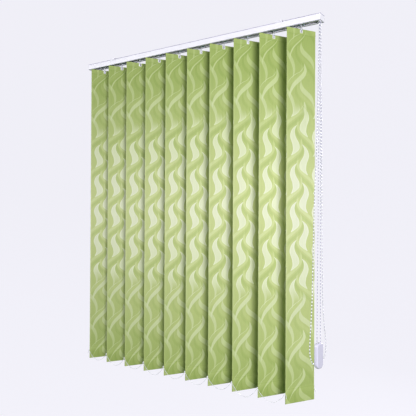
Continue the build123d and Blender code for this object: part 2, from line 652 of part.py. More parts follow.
def pulley(cord_radius, rim_radius, width, pin_radius):
    """Grooved wheel about Z, with its cord's middle at cord_radius."""
    wheel = Cylinder(rim_radius, width)
    floor = cord_radius - CORD_RADIUS - GROOVE_GAP / 2
    mouth = min(width / 2 - GROOVE_RIM, CORD_RADIUS + GROOVE_GAP + GROOVE_RIM)
    groove = Polyline(
        (floor, -CORD_RADIUS + GROOVE_GAP),
        (floor, CORD_RADIUS - GROOVE_GAP),
        (floor + CORD_RADIUS, CORD_RADIUS + GROOVE_GAP),
        (rim_radius + THROUGH, mouth),
        (rim_radius + THROUGH, -mouth),
        (floor + CORD_RADIUS, -CORD_RADIUS - GROOVE_GAP),
        close=True,
    )
    wheel -= revolve(Plane.XZ * make_face(groove), Axis.Z)
    return wheel - Cylinder(pin_radius + RUNNING_FIT, 2 * width)


def cord_pulley(y):
    """One of the two pulleys side by side that turn the cord down out of the cap."""
    wheel = pulley(CORD_TO_PULLEY, PULLEY_RADIUS, PULLEY_WIDTH, PIN_RADIUS)
    return Pos(PULLEY_X, y, PULLEY_Z) * Rot(90, 0, 0) * wheel


def return_pulley():
    """Pulley at the far end that sends the cord back along the rail."""
    wheel = pulley(RETURN_PULLEY_RADIUS, PULLEY_RADIUS, PULLEY_WIDTH, PIN_RADIUS)
    return Pos(RETURN_PULLEY_X, (CORD_FRONT_Y + CORD_BACK_Y) / 2, CORD_Z) * wheel


# Cord weight


def in_pod(shape):
    """Puts a piece drawn in X and Z, with its top at zero, where the cord weight hangs."""
    x = hook_x(VANE_COUNT) + POD_BEYOND_HOOK
    return Pos(x, POD_Y, POD_TOP) * Rot(0, 0, POD_TURN) * shape


def pod_outline(inset):
    """Weight's outline: sides that draw in a little towards a rounder foot."""
    half = POD_WIDTH / 2 - inset
    foot_half = half * POD_TAPER
    face = make_face(
        Polyline(
            (-half, -inset),
            (half, -inset),
            (foot_half, inset - POD_HEIGHT),
            (-foot_half, inset - POD_HEIGHT),
            close=True,
        )
    )
    face = fillet(face.vertices().group_by(Axis.Y)[-1], POD_TOP_RADIUS - inset)
    return fillet(face.vertices().group_by(Axis.Y)[0], POD_BOTTOM_RADIUS - inset)


def pod_shell(side):
    """One of the two moulded halves of the cord weight, split across its thickness."""
    half = POD_DEPTH / 2
    pod = Pos(0, half, 0) * extrude(Plane.XZ * pod_outline(0), POD_DEPTH)
    rims = pod.edges().filter_by(lambda e: abs(abs(e.center().Y) - half) < 0.01)
    pod = fillet(rims, POD_EDGE)
    depth = POD_DEPTH - 2 * POD_WALL
    pod -= Pos(0, depth / 2, 0) * extrude(Plane.XZ * pod_outline(POD_WALL + POD_RIM), depth)
    for x in (-WEIGHT_CORD_RADIUS, WEIGHT_CORD_RADIUS):
        pod -= bar_z(CORD_RADIUS + POD_CORD_GAP, -WEIGHT_WHEEL_BELOW_TOP, THROUGH, x=x)
    wheel_z = -WEIGHT_WHEEL_BELOW_TOP
    keep = (-half - THROUGH, 0) if side < 0 else (0, half + THROUGH)
    pod &= box((-POD_WIDTH, POD_WIDTH), keep, (-POD_HEIGHT - THROUGH, THROUGH))
    if side < 0:
        pod += bar_y(PIN_RADIUS, -half + POD_WALL / 2, depth / 2, 0, wheel_z)
    return in_pod(pod)


def weight_wheel():
    """Wheel in the cord weight that lets the cord run."""
    wheel = pulley(WEIGHT_CORD_RADIUS, WEIGHT_WHEEL_RADIUS, WEIGHT_WHEEL_WIDTH, PIN_RADIUS)
    return in_pod(Pos(0, 0, -WEIGHT_WHEEL_BELOW_TOP) * Rot(90, 0, 0) * wheel)


def weight_slug():
    """Steel slug that fills the pod under the wheel."""
    depth = POD_DEPTH - 2 * POD_WALL
    top = -WEIGHT_WHEEL_BELOW_TOP - WEIGHT_WHEEL_RADIUS - SLUG_BELOW_WHEEL
    slug = box((-SLUG_WIDTH / 2, SLUG_WIDTH / 2), (-depth / 2, depth / 2), (top - SLUG_LENGTH, top))
    return in_pod(fillet(slug.edges().filter_by(Axis.Y), SLUG_CORNER))


# Cords


def cord_tube(name, points, diameter, tight):
    """A round tube of straight runs joined by tangent arcs. tight gives an arc by its corner."""
    points = [Vector(*point) for point in points]
    radii = []
    for number in range(1, len(points) - 1):
        before = points[number] - points[number - 1]
        after = points[number + 1] - points[number]
        turn = before.get_angle(after)
        shorter = min(before.length, after.length)
        radii.append(tight.get(number, 0.45 * shorter / tan(radians(turn) / 2)))
    path = FilletPolyline(*points, radius=radii)
    start = Plane(path @ 0, z_dir=path % 0)
    tube = sweep(start * Circle(diameter / 2), path)
    print(name, "length", round(path.length, 1), "least radius", round(min(radii), 1))
    expected = path.length * pi * diameter**2 / 4
    print(name, "volume", round(tube.volume, 1), "section times length", round(expected, 1))
    return tube


def tilt_chain_points():
    """Up one side of the sprocket's loop, over it and down, by hand from the way the loop hangs."""
    hook = hook_x(VANE_COUNT)
    radius = SPROCKET_PITCH_RADIUS
    top = ROD_Z + radius
    front = [
        (hook + 67.9, -14.7, -498),
        (hook + 64.4, -28.4, -680),
        (hook + 61.4, -36.4, -1036),
        (hook + 59.4, -42.6, -1122),
        (hook + 57.6, -48.2, -1190),
        (hook + 57.4, -48.4, -1232),
        (hook + 60.6, -34.0, -1264),
        (hook + 66.0, -9.6, -1279),
        (hook + 71.6, 15.6, -1278),
        (hook + 77.0, 39.8, -1264),
        (hook + 80.2, 54.0, -1234),
        (hook + 79.4, 50.2, -1190),
        (hook + 77.0, 39.2, -1128),
        (hook + 75.2, 28.0, -1046),
        (hook + 74.6, 19.6, -680),
        (hook + 74.0, 16.6, -496),
    ]
    start = [
        (SPROCKET_X, ROD_Y - CORD_END_GAP / 2, top),
        (SPROCKET_X, ROD_Y - radius, top),
        (SPROCKET_X, ROD_Y - radius, RAIL_UNDERSIDE - 40.0),
    ]
    end = [
        (SPROCKET_X, ROD_Y + radius, RAIL_UNDERSIDE - 40.0),
        (SPROCKET_X, ROD_Y + radius, top),
        (SPROCKET_X, ROD_Y + CORD_END_GAP / 2, top),
    ]
    return start + front + end


def tilt_chain():
    """Endless bead chain over the sprocket, drawn as a plain tube."""
    points = tilt_chain_points()
    arc = SPROCKET_PITCH_RADIUS - CORD_END_GAP
    return cord_tube("tilt chain", points, CHAIN_DIAMETER, {1: arc, len(points) - 2: arc})


def traverse_cord():
    """Endless draw cord: through the carriers, down to the weight's wheel and back, round the
    return pulley. Its ends are tied inside the first carrier."""
    along = radians(POD_TURN)
    middle = (hook_x(VANE_COUNT) + POD_BEYOND_HOOK, POD_Y)
    offset = (WEIGHT_CORD_RADIUS * cos(along), WEIGHT_CORD_RADIUS * sin(along))
    wheel_z = POD_TOP - WEIGHT_WHEEL_BELOW_TOP
    drop_x = PULLEY_X + CORD_TO_PULLEY
    low = wheel_z - WEIGHT_CORD_RADIUS
    knot = hook_x(1)
    far = RETURN_PULLEY_X - RETURN_PULLEY_RADIUS
    points = [
        (knot + CORD_END_GAP / 2, CORD_FRONT_Y, CORD_Z),
        (drop_x, CORD_FRONT_Y, CORD_Z),
        (drop_x, CORD_FRONT_Y, RAIL_UNDERSIDE - 30.0),
        (middle[0] - offset[0], middle[1] - offset[1], POD_TOP + 6.0),
        (middle[0] - offset[0], middle[1] - offset[1], low),
        (middle[0] + offset[0], middle[1] + offset[1], low),
        (middle[0] + offset[0], middle[1] + offset[1], POD_TOP + 6.0),
        (drop_x, CORD_BACK_Y, RAIL_UNDERSIDE - 30.0),
        (drop_x, CORD_BACK_Y, CORD_Z),
        (far, CORD_BACK_Y, CORD_Z),
        (far, CORD_FRONT_Y, CORD_Z),
        (knot - CORD_END_GAP / 2, CORD_FRONT_Y, CORD_Z),
    ]
    tight = {
        1: CORD_TO_PULLEY,
        4: WEIGHT_CORD_RADIUS * 0.995,
        5: WEIGHT_CORD_RADIUS * 0.995,
        8: CORD_TO_PULLEY,
        9: RETURN_PULLEY_RADIUS * 0.995,
        10: RETURN_PULLEY_RADIUS * 0.995,
    }
    return cord_tube("traverse cord", points, CORD_DIAMETER, tight)


# How far each chain sags between one vane and the next, from the far end to the control end
FRONT_SAGS = (37.0, 42.0, 38.0, 44.0, 40.0, 43.0, 38.0, 45.0, 41.0)
BACK_SAGS = (41.0, 37.0, 43.0, 39.0, 44.0, 38.0, 42.0, 40.0, 43.0)
# A span's points as shares of the pitch and of the sag
SPAN_SHAPE = ((0.13, 0.47), (0.31, 0.87), (0.5, 1.0), (0.7, 0.86), (0.88, 0.45))
TAIL_SHAPE = ((3.2, -1.5), (6.4, -8.0), (5.6, -15.0))


def bottom_chain(side, sags):
    """Bead chain along one side of the vanes' feet, with a pin through every eyelet."""
    angle = radians(VANE_ANGLE)
    y = side * EAR_U * sin(angle)
    ear_x = [hook_x(n + 1) + side * EAR_U * cos(angle) for n in range(VANE_COUNT)]
    low = EAR_Z - EYELET_THICKNESS / 2 - LINK_HEAD_GAP
    high = EAR_Z + EYELET_THICKNESS / 2 + LINK_HEAD_GAP
    join = low - LINK_HEAD_HEIGHT / 2
    name = "front chain" if side < 0 else "back chain"
    solids = []
    for number, sag in enumerate(sags):
        start = ear_x[number]
        middle = [(start + s * VANE_PITCH, y, join - d * sag) for s, d in SPAN_SHAPE]
        route = [(start, y, join)] + middle + [(start + VANE_PITCH, y, join)]
        solids.append(cord_tube(f"{name} span {number + 1}", route, LINK_DIAMETER, {}))
    for x, way in ((ear_x[0], -1), (ear_x[-1], 1)):
        route = [(x, y, join)] + [(x + way * dx, y, join + dz) for dx, dz in TAIL_SHAPE]
        solids.append(cord_tube(f"{name} tail", route, LINK_DIAMETER, {}))
    for x in ear_x:
        pin = bar_z(LINK_PIN_RADIUS, low - LINK_HEAD_BITE, high + LINK_HEAD_BITE, x=x, y=y)
        pin += bar_z(LINK_HEAD_RADIUS, low - LINK_HEAD_HEIGHT, low, x=x, y=y)
        pin += bar_z(LINK_HEAD_RADIUS, high, high + LINK_HEAD_HEIGHT, x=x, y=y)
        solids.append(pin)
    return solids[0].fuse(*solids[1:])


def save(name, shapes):
    """Writes one sub-part, of one or more separate solids."""
    solids = [solid for shape in shapes for solid in shape.solids()]
    export_step(solids[0] if len(solids) == 1 else Compound(children=solids), f"parts/{name}.step")


def main():
    os.makedirs("parts", exist_ok=True)
    save("head_rail", [head_rail()])
    save("control_end_cap", [control_end_cap()])
    save("return_end_cap", [return_end_cap()])
    save("ceiling_clips", [ceiling_clip(-CLIP_SPACING / 2), ceiling_clip(CLIP_SPACING / 2)])
    save("tilt_rod", [tilt_rod()])
    save("chain_sprocket", [chain_sprocket()])
    save("cord_pulley_front", [cord_pulley(CORD_FRONT_Y)])
    save("cord_pulley_back", [cord_pulley(CORD_BACK_Y)])
    save("return_pulley", [return_pulley()])
    save("tilt_chain", [tilt_chain()])
    save("traverse_cord", [traverse_cord()])
    save("cord_weight_front", [pod_shell(-1)])
    save("cord_weight_back", [pod_shell(1)])
    save("cord_weight_wheel", [weight_wheel()])
    save("cord_weight_slug", [weight_slug()])
    save("bottom_chain_front", [bottom_chain(-1, FRONT_SAGS)])
    save("bottom_chain_back", [bottom_chain(1, BACK_SAGS)])
    stem = hook_stem()
    cloth = vane_fabric()
    fittings = [hanger(), weight_plate()]
    for number in range(1, VANE_COUNT + 1):
        save(f"carrier_{number:02d}", carrier(number))
        save(f"hook_{number:02d}", [on_hook(stem, number)])
        save(f"vane_{number:02d}", [on_hook(cloth, number)])
        save(f"vane_fittings_{number:02d}", [on_hook(piece, number) for piece in fittings])


main()
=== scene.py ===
"""Finish, cloth, chains and cords of the vertical blind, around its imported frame.

Metres, in the frame's own axes: +X along the rail to the control end, +Y into the wall, +Z up.
"""
import json
import math

import bpy
import numpy as np
from mathutils import Matrix, Vector


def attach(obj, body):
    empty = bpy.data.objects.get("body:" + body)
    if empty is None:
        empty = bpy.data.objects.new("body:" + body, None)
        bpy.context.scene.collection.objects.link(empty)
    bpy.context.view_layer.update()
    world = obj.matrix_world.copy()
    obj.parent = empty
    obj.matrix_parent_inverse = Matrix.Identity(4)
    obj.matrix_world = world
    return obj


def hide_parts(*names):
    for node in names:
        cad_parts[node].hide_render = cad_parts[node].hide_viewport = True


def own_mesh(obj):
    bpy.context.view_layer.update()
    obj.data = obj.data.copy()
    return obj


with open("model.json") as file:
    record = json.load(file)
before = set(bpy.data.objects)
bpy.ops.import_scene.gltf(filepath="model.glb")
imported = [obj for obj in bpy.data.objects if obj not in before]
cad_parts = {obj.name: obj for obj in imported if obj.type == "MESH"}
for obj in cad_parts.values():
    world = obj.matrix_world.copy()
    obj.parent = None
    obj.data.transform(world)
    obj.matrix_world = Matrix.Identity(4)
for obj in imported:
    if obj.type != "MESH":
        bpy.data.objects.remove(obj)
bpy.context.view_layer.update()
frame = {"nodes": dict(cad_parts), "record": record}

MM = 0.001

# The blind's own sizes, as its frame has them
VANE_COUNT = 10
VANE_ANGLE = math.radians(58.0)
VANE_WIDTH = 0.127
VANE_DROP = 1.380
HANGER_SHEET = 0.0010
WEIGHT_SHEET = 0.0016
TOP_HEM = 0.020
BOTTOM_HEM = 0.052
EAR_REACH = 0.0025
EAR_ABOVE_BOTTOM = 0.038
VANE_PITCH = 0.113
RAIL_HALF_LENGTH = 0.595
RAIL_TOP = -0.004
RAIL_UNDERSIDE = -0.029
VANE_TOP = -0.043
VANE_BOTTOM = VANE_TOP - VANE_DROP
LAST_HOOK_X = RAIL_HALF_LENGTH - 0.0815
EAR_OUT = VANE_WIDTH / 2 + EAR_REACH
EAR_Z = VANE_BOTTOM + EAR_ABOVE_BOTTOM


def hook_x(number):
    """Where vane 1, 2, 3 ... hangs along the rail, counted from the far end."""
    return LAST_HOOK_X - (VANE_COUNT - number) * VANE_PITCH


# Camera, at the photograph's place: right of the blind, half way down, looking back along it
CAMERA_PLACE = Vector((1.2547, -1.7336, -0.7223))
CAMERA_YAW = math.radians(33.64)
CAMERA_PITCH = math.radians(0.41)
CAMERA_ROLL = math.radians(0.30)
FOCAL_PIXELS = 500.0
PICTURE_PIXELS = 416.0
SENSOR_MM = 36.0


def place_camera():
    """Adds the camera that every render uses."""
    data = bpy.data.cameras.new("camera")
    data.sensor_width = SENSOR_MM
    data.lens = SENSOR_MM * FOCAL_PIXELS / PICTURE_PIXELS
    data.clip_end = 50.0
    camera = bpy.data.objects.new("camera", data)
    bpy.context.scene.collection.objects.link(camera)
    turn = Matrix.Rotation(CAMERA_YAW, 4, "Z") @ Matrix.Rotation(math.pi / 2 + CAMERA_PITCH, 4, "X")
    camera.matrix_world = Matrix.Translation(CAMERA_PLACE) @ turn @ Matrix.Rotation(CAMERA_ROLL, 4, "Z")
    bpy.context.scene.camera = camera


place_camera()


# Colours and node trees


def linear(code):
    """Turns an sRGB hex colour into the linear colour that shaders take."""
    parts = [int(code[i : i + 2], 16) / 255 for i in (1, 3, 5)]
    return tuple([c / 12.92 if c <= 0.04045 else ((c + 0.055) / 1.055) ** 2.4 for c in parts] + [1.0])


def add(tree, kind, links=None, **settings):
    """Adds one node with its settings, and links or sets its inputs."""
    node = tree.nodes.new(kind)
    for key, value in settings.items():
        setattr(node, key, value)
    for socket, value in (links or {}).items():
        if isinstance(value, bpy.types.NodeSocket):
            tree.links.new(value, node.inputs[socket])
        else:
            node.inputs[socket].default_value = value
    return node


def new_material(name):
    """Starts a material with an empty tree, its output and its main shader."""
    material = bpy.data.materials.new(name)
    material.use_nodes = True
    tree = material.node_tree
    tree.nodes.clear()
    shader = add(tree, "ShaderNodeBsdfPrincipled")
    add(tree, "ShaderNodeOutputMaterial", {"Surface": shader.outputs["BSDF"]})
    return material, tree, shader


# Vane cloth: polyester jacquard with pale flame-shaped ribbons in two staggered columns

REPEAT = 0.1415  # height of one pattern repeat
COLUMN_PITCH = 0.098  # how far apart two like columns of flames stand
MIRROR = 0.116  # across, a mirrored column is this less where the plain one is


def column(*rows):
    """A form that repeats down the vane, from rows of how far down, middle and half width in millimetres."""
    top, bottom = rows[0][0], rows[-1][0]
    along = [(row[0] - top) / (bottom - top) for row in rows]
    middles = [(place, row[1] * MM / VANE_WIDTH) for place, row in zip(along, rows)]
    halves = [(place, row[2] * MM / VANE_WIDTH) for place, row in zip(along, rows)]
    return top * MM, (bottom - top) * MM, middles, halves


FLAME = column(
    (498, 47, 0), (510, 35, 5), (520, 29.5, 7.5), (530, 27.5, 9.5), (540, 27.8, 11.8), (550, 31.5, 13.5),
    (560, 37, 15), (570, 41.5, 15.5), (580, 43, 15), (590, 42, 13), (600, 35, 8.5), (607, 27.5, 4.5), (613, 20, 0),
)
BAND = column(
    (345, 46, 0), (360, 42, 3.5), (375, 41, 5.5), (390, 47, 7.5), (400, 55, 9), (410, 66, 10), (420, 80, 10.5),
    (432, 96, 10), (445, 110, 8), (460, 118, 5), (480, 122, 0),
)
LONG_RIBBON = column(
    (124, 76, 0), (136, 80, 4), (150, 82, 6.5), (163, 77, 9), (175, 68, 12), (187, 56, 13), (200, 42, 12),
    (213, 30, 9), (228, 21, 6), (242, 16, 3.5), (260, 14, 0),
)
SHORT_RIBBON = column(
    (44, 65, 0), (56, 63, 2.5), (66, 64, 6), (76, 68, 10), (86, 77, 15), (97, 90, 17), (108, 103, 13),
    (122, 114, 7), (146, 121, 0),
)
SIDE_RIBBON = column(
    (84, -2, 6), (98, 6, 9), (112, 17, 9), (128, 25, 8), (142, 30, 6.5), (156, 32, 5), (172, 30, 3), (190, 25, 0)
)
THIN_LINE = column((134, 77, 0), (148, 69, 1.4), (158, 60, 1.6), (168, 42, 2.2), (180, 26, 1.8), (192, 14, 1.4), (210, 3, 0))
THREAD = 0.0011  # thread spacing, drawn twice as coarse as real so that it shows
# Colours half way down a vane, where a painted sheen highlight makes the cloth paler, and near its two ends, where
# painted shade makes it deeper
GROUND = ("#C5CF91", "#9AAE60")
SHADE_BAND = ("#B4C580", "#8AA150")
PALE_BAND = ("#D2DBA5", "#A9BA70")
RIBBON = ("#DFE4C8", "#C0CE90")
RIBBON_RIM = ("#EFF2E0", "#CDD9A4")
FLAMES_FROM = 0.300
FLAMES_TO = 0.985
SEAM = "#6F8A3C"


def shape_curve(tree, along, points):
    """Reads one of the flame's shape curves at a share of its length."""
    node = add(tree, "ShaderNodeFloatCurve", {"Value": along})
    curve = node.mapping.curves[0]
    for knot, place in zip((curve.points[0], curve.points[1]), (points[0], points[-1])):
        knot.location = place
    for place in points[1:-1]:
        curve.points.new(*place)
    node.mapping.update()
    return node.outputs[0]


def sums(tree, operation, *values):
    """One maths node."""
    return add(tree, "ShaderNodeMath", dict(enumerate(values)), operation=operation).outputs[0]


def inside(tree, form, across, down, shift=0.0, drop=0.0, mirrored=False, wider=1.0):
    """How deep a place lies inside a repeating form, in metres, and below zero outside."""
    top, length, middles, halves = form
    start = top + drop + (REPEAT / 2 if mirrored else 0)
    turns = sums(tree, "DIVIDE", sums(tree, "SUBTRACT", down, start), REPEAT)
    along = sums(tree, "DIVIDE", sums(tree, "MULTIPLY", sums(tree, "FRACT", turns), REPEAT), length)
    middle = sums(tree, "MULTIPLY", shape_curve(tree, along, middles), VANE_WIDTH)
    half = sums(tree, "MULTIPLY", sums(tree, "MULTIPLY", shape_curve(tree, along, halves), VANE_WIDTH), wider)
    plain = sums(tree, "SUBTRACT", across, shift)
    place = sums(tree, "SUBTRACT", MIRROR, plain) if mirrored else plain
    depth = sums(tree, "SUBTRACT", half, sums(tree, "ABSOLUTE", sums(tree, "SUBTRACT", place, middle)))
    beyond = sums(tree, "GREATER_THAN", along, 1.0)
    return sums(tree, "SUBTRACT", depth, beyond)


def soft_step(tree, value, low, high):
    """0 below low, 1 above high, and smooth between."""
    return add(
        tree, "ShaderNodeMapRange", {"Value": value, "From Min": low, "From Max": high}, interpolation_type="SMOOTHSTEP"
    ).outputs[0]


def hairline(tree, depth, half):
    """A thin line along the edge of a flame."""
    return soft_step(tree, sums(tree, "ABSOLUTE", depth), 2 * half, 0.5 * half)


def blend(tree, share, first, second):
    """Mixes two colours."""
    return add(tree, "ShaderNodeMix", {0: share, 6: first, 7: second}, data_type="RGBA").outputs[2]


def jacquard():
    """Woven polyester: dull threads in the ground, smoother and paler floats in the ribbons."""
    material, tree, shader = new_material("woven_jacquard_cloth")
    spread = add(tree, "ShaderNodeUVMap", uv_map="cloth_metres").outputs[0]
    parts = add(tree, "ShaderNodeSeparateXYZ", {0: spread})
    across, down = parts.outputs["X"], parts.outputs["Y"]
    # the cloth is painted palest a little below half way down, as a painted sheen highlight, and deeper towards both
    # ends, as painted shade
    painted_sheen = add(tree, "ShaderNodeValToRGB", {0: sums(tree, "DIVIDE", down, VANE_DROP)})
    ramp = painted_sheen.color_ramp
    ramp.interpolation = "B_SPLINE"
    ramp.elements[0].position, ramp.elements[0].color = 0.0, (0, 0, 0, 1)
    ramp.elements[1].position, ramp.elements[1].color = 1.0, (0.0, 0.0, 0.0, 1)
    for place, value in ((0.15, 0.25), (0.36, 0.88), (0.48, 1.0), (0.62, 0.85), (0.87, 0.36), (0.97, 0.1)):
        ramp.elements.new(place).color = (value, value, value, 1)

    # each pair's first colour carries the painted sheen highlight, and its second the painted shade
    def tone(pair):
        return blend(tree, painted_sheen.outputs["Color"], linear(pair[1]), linear(pair[0]))

    # broad flames with bands round them fill the pale middle, and slim ribbons the two ends
    begin = soft_step(tree, down, FLAMES_FROM - 0.030, FLAMES_FROM + 0.030)
    finish = soft_step(tree, down, FLAMES_TO + 0.040, FLAMES_TO - 0.040)
    flaming = sums(tree, "MULTIPLY", begin, finish)
    quiet = sums(tree, "SUBTRACT", 1.0, flaming)
    left = inside(tree, FLAME, across, down)
    right = inside(tree, FLAME, across, down, mirrored=True)
    left_edge = inside(tree, FLAME, across, down, shift=-COLUMN_PITCH, mirrored=True)
    right_edge = inside(tree, FLAME, across, down, shift=COLUMN_PITCH)
    flames = sums(tree, "MAXIMUM", sums(tree, "MAXIMUM", left, right), sums(tree, "MAXIMUM", left_edge, right_edge))
    colour = tone(GROUND)
    for mirrored in (False, True):
        band = inside(tree, BAND, across, down, mirrored=mirrored)
        upper = inside(tree, BAND, across, down, shift=0.008, drop=-0.016, mirrored=mirrored)
        if mirrored:
            upper = inside(tree, BAND, across, down, shift=-0.008, drop=-0.016, mirrored=True)
        shine = sums(tree, "MULTIPLY", soft_step(tree, upper, -0.001, 0.002), sums(tree, "MULTIPLY_ADD", flaming, 0.5, 0.3))
        colour = blend(tree, shine, colour, tone(PALE_BAND))
        shade = sums(tree, "MULTIPLY", soft_step(tree, band, -0.0005, 0.002), sums(tree, "MULTIPLY_ADD", flaming, 0.15, 0.4))
        colour = blend(tree, shade, colour, tone(SHADE_BAND))
    # next to the hems the ribbons thin out to lines
    slim = sums(tree, "MULTIPLY", soft_step(tree, down, 0.030, 0.160), soft_step(tree, down, 1.370, 1.270))
    slim = sums(tree, "MULTIPLY_ADD", slim, 0.82, 0.18)
    for form, strength in ((SHORT_RIBBON, 0.6), (SIDE_RIBBON, 0.55), (LONG_RIBBON, 0.8), (THIN_LINE, 0.9)):
        width = slim if form is LONG_RIBBON else 1.0
        ribbon = soft_step(tree, inside(tree, form, across, down, wider=width), -0.0006, 0.0010)
        ribbon = sums(tree, "MULTIPLY", sums(tree, "MULTIPLY", ribbon, strength), quiet)
        colour = blend(tree, ribbon, colour, tone(RIBBON))
    floats = sums(tree, "MULTIPLY", soft_step(tree, flames, -0.0006, 0.0006), flaming)
    colour = blend(tree, floats, colour, tone(RIBBON))
    rim = sums(tree, "MULTIPLY", soft_step(tree, flames, 0.0045, 0.001), floats)
    colour = blend(tree, sums(tree, "MULTIPLY", rim, 0.6), colour, tone(RIBBON_RIM))
    hem = sums(tree, "MULTIPLY", soft_step(tree, down, TOP_HEM + 0.001, TOP_HEM - 0.001), 0.4)
    colour = blend(tree, hem, colour, tone(PALE_BAND))
    # the cut edge on the room side is sealed, and a painted highlight along it makes it paler
    edge_highlight = soft_step(tree, across, 0.0070, 0.0035)
    colour = blend(tree, sums(tree, "MULTIPLY", edge_highlight, 0.5), colour, tone(PALE_BAND))
    for level, half in ((TOP_HEM, 0.0008), (VANE_DROP - BOTTOM_HEM, 0.0008)):
        off = sums(tree, "ABSOLUTE", sums(tree, "SUBTRACT", down, level))
        weld = sums(tree, "MULTIPLY", soft_step(tree, off, 2 * half, half), 0.2)
        colour = blend(tree, weld, colour, linear(SEAM))
    # warp threads run down the vane, and weft threads across it
    warp = sums(tree, "SINE", sums(tree, "MULTIPLY", across, 2 * math.pi / THREAD))
    weft = sums(tree, "SINE", sums(tree, "MULTIPLY", down, 2 * math.pi / THREAD))
    weave = sums(tree, "MULTIPLY", warp, weft)
    streaks = add(tree, "ShaderNodeVectorMath", {0: spread, 1: (420.0, 22.0, 1.0)}, operation="MULTIPLY").outputs[0]
    slubs = add(tree, "ShaderNodeTexNoise", {"Vector": streaks, "Scale": 1.0, "Detail": 3.0}).outputs["Fac"]
    shade = add(
        tree, "ShaderNodeMapRange", {"Value": slubs, "From Min": 0.3, "From Max": 0.7, "To Min": 0.89, "To Max": 0.965}
    ).outputs[0]
    colour = add(tree, "ShaderNodeVectorMath", {0: colour, "Scale": shade}, operation="SCALE").outputs[0]
    tree.links.new(colour, shader.inputs["Base Color"])
    rough = add(tree, "ShaderNodeMapRange", {"Value": floats, "To Min": 0.78, "To Max": 0.58}).outputs[0]
    tree.links.new(rough, shader.inputs["Roughness"])
    relief = sums(tree, "MULTIPLY_ADD", floats, 0.6, weave)
    bump = add(tree, "ShaderNodeBump", {"Height": relief, "Strength": 0.12, "Distance": 0.0003}).outputs[0]
    tree.links.new(bump, shader.inputs["Normal"])
    shader.inputs["Specular IOR Level"].default_value = 0.2
    return material


def moulded(name, code, roughness, grain_mm, strength=0.04, coat=0.0, see_through=0.0):
    """Injection-moulded plastic or enamel: even colour, a fine skin and soft gloss."""
    material, tree, shader = new_material(name)
    where = add(tree, "ShaderNodeTexCoord").outputs["Object"]
    skin = add(
        tree, "ShaderNodeTexNoise", {"Vector": where, "Scale": 1 / (grain_mm * MM), "Detail": 3.0}
    ).outputs["Fac"]
    tint = add(
        tree, "ShaderNodeMapRange", {"Value": skin, "From Min": 0.25, "From Max": 0.75, "To Min": 0.97, "To Max": 1.0}
    ).outputs[0]
    base = linear(code)
    colour = add(
        tree, "ShaderNodeVectorMath", {0: base[:3], "Scale": tint}, operation="SCALE"
    ).outputs[0]
    tree.links.new(colour, shader.inputs["Base Color"])
    polish = add(
        tree,
        "ShaderNodeMapRange",
        {"Value": skin, "From Min": 0.3, "From Max": 0.7, "To Min": roughness - 0.04, "To Max": roughness + 0.06},
    ).outputs[0]
    tree.links.new(polish, shader.inputs["Roughness"])
    bump = add(
        tree, "ShaderNodeBump", {"Height": skin, "Strength": strength, "Distance": 0.0002}
    ).outputs[0]
    tree.links.new(bump, shader.inputs["Normal"])
    shader.inputs["Coat Weight"].default_value = coat
    shader.inputs["Transmission Weight"].default_value = see_through
    return material


RAIL_EDGE_SHADE = "#A29FBA"


def lined(name, code, roughness, grain_mm):
    """White enamel or moulding on the rail, with a line of painted shade along its upper and lower edges."""
    material = moulded(name, code, roughness, grain_mm, strength=0.02)
    tree = material.node_tree
    shader = tree.nodes["Principled BSDF"]
    plain = shader.inputs["Base Color"].links[0].from_socket
    where = add(tree, "ShaderNodeTexCoord").outputs["Object"]
    level = add(tree, "ShaderNodeSeparateXYZ", {0: where}).outputs["Z"]
    # painted shade: the rail is painted darker just below its top and just above its underside
    upper = soft_step(tree, level, RAIL_TOP - 0.0032, RAIL_TOP - 0.0020)
    lower = soft_step(tree, level, RAIL_UNDERSIDE + 0.0022, RAIL_UNDERSIDE + 0.0010)
    colour = blend(tree, sums(tree, "MULTIPLY", upper, 0.9), plain, linear(RAIL_EDGE_SHADE))
    colour = blend(tree, sums(tree, "MULTIPLY", lower, 0.55), colour, linear(RAIL_EDGE_SHADE))
    tree.links.new(colour, shader.inputs["Base Color"])
    return material


def rolled_metal(name, code, roughness, line_mm):
    """Drawn or rolled metal with fine lines along X."""
    material, tree, shader = new_material(name)
    where = add(tree, "ShaderNodeTexCoord").outputs["Object"]
    stretched = add(
        tree, "ShaderNodeVectorMath", {0: where, 1: (2.0, 1 / (line_mm * MM), 1 / (line_mm * MM))}, operation="MULTIPLY"
    ).outputs[0]
    lines = add(tree, "ShaderNodeTexNoise", {"Vector": stretched, "Scale": 1.0, "Detail": 2.0}).outputs["Fac"]
    polish = add(
        tree,
        "ShaderNodeMapRange",
        {"Value": lines, "From Min": 0.3, "From Max": 0.7, "To Min": roughness, "To Max": roughness + 0.15},
    ).outputs[0]
    tree.links.new(polish, shader.inputs["Roughness"])
    shader.inputs["Base Color"].default_value = linear(code)
    shader.inputs["Metallic"].default_value = 1.0
    return material


def nylon_beads():
    """Milky nylon beads, white round the waist, with painted shade that makes them grey-green at the ends."""
    material, tree, shader = new_material("milky_nylon_beads")
    spread = add(tree, "ShaderNodeUVMap", uv_map="UVMap").outputs[0]
    along = add(tree, "ShaderNodeSeparateXYZ", {0: spread}).outputs["Y"]
    from_waist = sums(tree, "ABSOLUTE", sums(tree, "SUBTRACT", along, 0.5))
    # painted shade: the ends of each bead are painted darker than its waist
    colour = blend(tree, soft_step(tree, from_waist, 0.12, 0.38), linear("#F8F8FC"), linear("#8C9EA3"))
    tree.links.new(colour, shader.inputs["Base Color"])
    shader.inputs["Roughness"].default_value = 0.25
    return material


